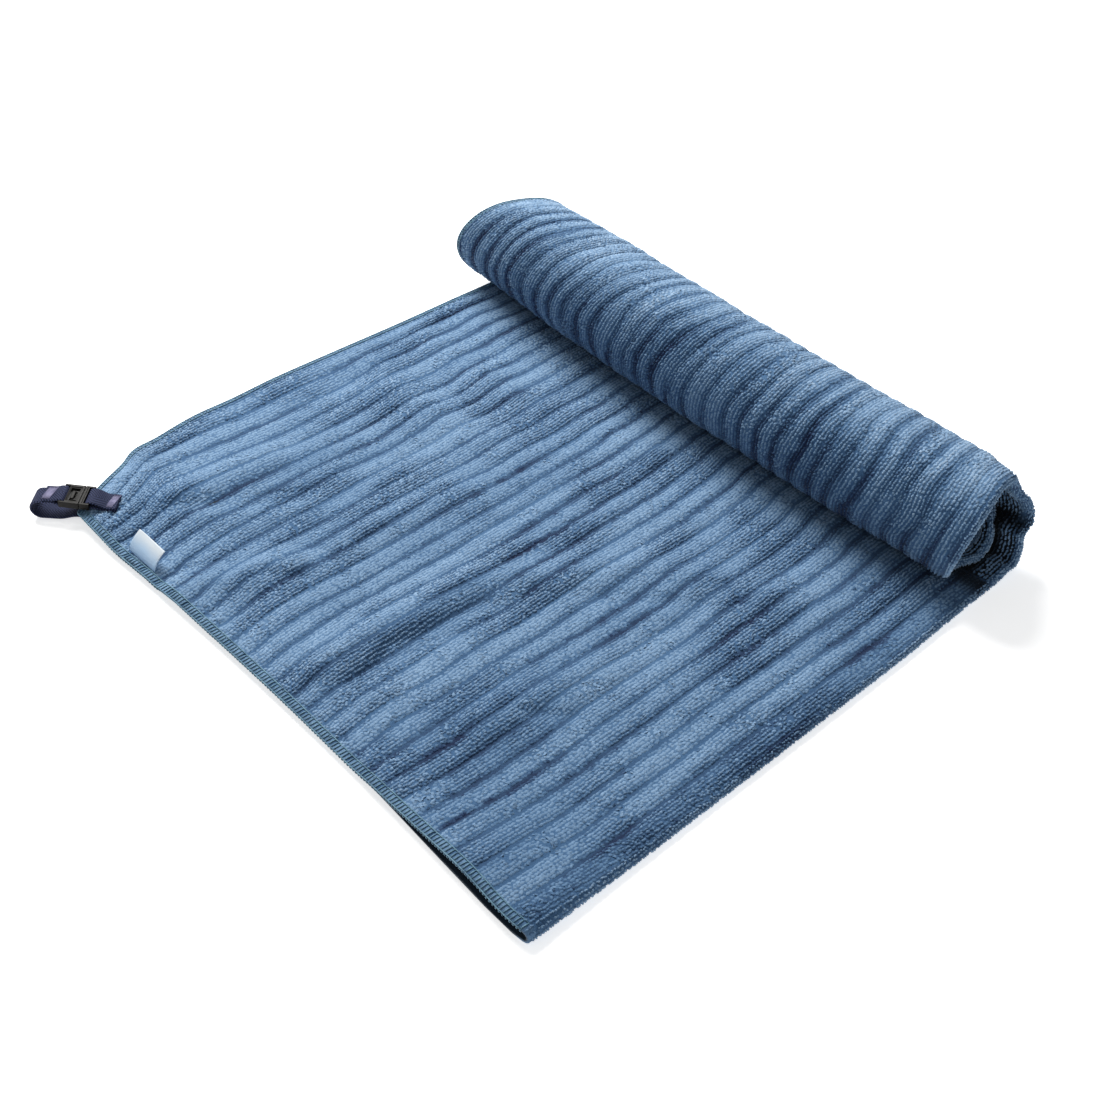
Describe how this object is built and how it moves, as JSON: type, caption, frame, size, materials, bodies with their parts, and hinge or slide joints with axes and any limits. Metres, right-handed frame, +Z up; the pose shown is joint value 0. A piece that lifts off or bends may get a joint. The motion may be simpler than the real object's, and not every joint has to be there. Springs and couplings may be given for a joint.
{
  "type": "rolled travel towel",
  "caption": "Ribbed terry travel towel, folded lengthwise, laid flat with its far part rolled up, with a webbing hang loop, snap buckle and plain flag label.",
  "frame": {"origin": "on the flat underside, in the middle of the folded width and of the depth", "axes": "+X along the roll from the hems to the fold, +Y from the open short hem to the roll, +Z up"},
  "size_m": [0.4137, 0.388, 0.0719],
  "materials": {
    "terry": "soft looped pile",
    "webbing": "woven",
    "buckle": "satin moulded",
    "label": "smooth woven"
  },
  "bodies": {
    "root": {"towel": "terry", "strap_loop": "webbing", "strap_tab": "webbing", "buckle_frame": "buckle", "buckle_tongue": "buckle", "label": "label"}
  },
  "joints": []
}
